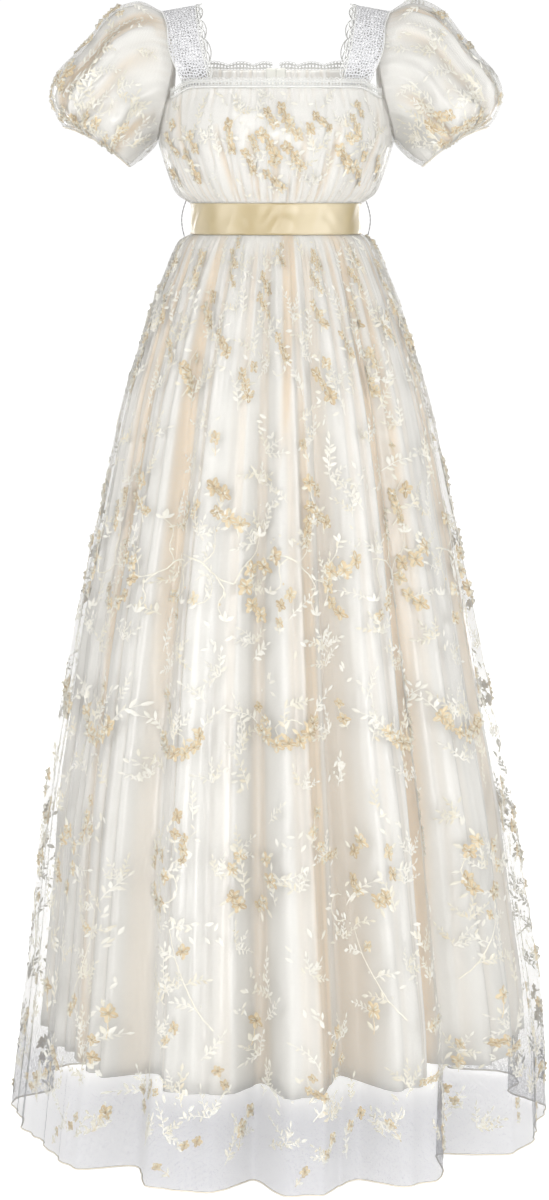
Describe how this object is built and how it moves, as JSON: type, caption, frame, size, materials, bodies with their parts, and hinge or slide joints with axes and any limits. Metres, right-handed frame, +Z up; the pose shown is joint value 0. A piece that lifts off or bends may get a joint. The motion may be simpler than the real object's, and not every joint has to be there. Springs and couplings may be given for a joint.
{
  "type": "regency gown",
  "caption": "High-waisted long gown with puff sleeves: net embroidered with flowers over satin, lace straps and neck, gold ribbon sash, back zip.",
  "frame": {"origin": "middle of the shoulder line, level with the top of the lace straps where they pass over the wearer's shoulders", "axes": "+Z up along the wearer's body, -Y towards the gown's front, +X towards the wearer's left"},
  "size_m": [0.7055, 0.7035, 1.4386],
  "materials": {
    "net": "fine soft net, embroidered with small blossoms and curved stems in cream and pale gold",
    "satin": "ivory satin with a soft silky sheen",
    "lace": "white cotton lace with eyelets and scalloped edges",
    "piping": "white corded piping",
    "ribbon": "pale gold satin ribbon",
    "loop_thread": "twisted pale thread",
    "zip_tape": "woven pale tape",
    "zip_coil": "pale nylon coil",
    "zip_metal": "plain pale metal"
  },
  "bodies": {
    "gown": {"overskirt_front": "net", "overskirt_back_left": "net", "overskirt_back_right": "net", "underskirt_front": "satin", "underskirt_back_left": "satin", "underskirt_back_right": "satin", "bodice_front": "satin", "bodice_back_left": "satin", "bodice_back_right": "satin", "bodice_net_front": "net", "bodice_net_back_left": "net", "bodice_net_back_right": "net", "sleeve_net_left": "net", "sleeve_net_right": "net", "sleeve_satin_left": "satin", "sleeve_satin_right": "satin", "strap_lace_left": "lace", "strap_lace_right": "lace", "neck_lace_front": "lace", "neck_lace_back_left": "lace", "neck_lace_back_right": "lace", "neck_piping": "piping", "waistband": "satin", "sash": "ribbon", "belt_loop_left": "loop_thread", "belt_loop_right": "loop_thread", "zip_tape_left": "zip_tape", "zip_tape_right": "zip_tape", "zip_coil": "zip_coil", "zip_slider": "zip_metal"},
    "pull_tab": {"zip_pull_tab": "zip_metal"}
  },
  "joints": [
    {"name": "pull_tab_swing", "type": "hinge", "parent": "gown", "child": "pull_tab", "pos_m": [0, 0.0945, -0.0835], "axis": [1, 0, 0], "range_deg": [0, 160]}
  ]
}
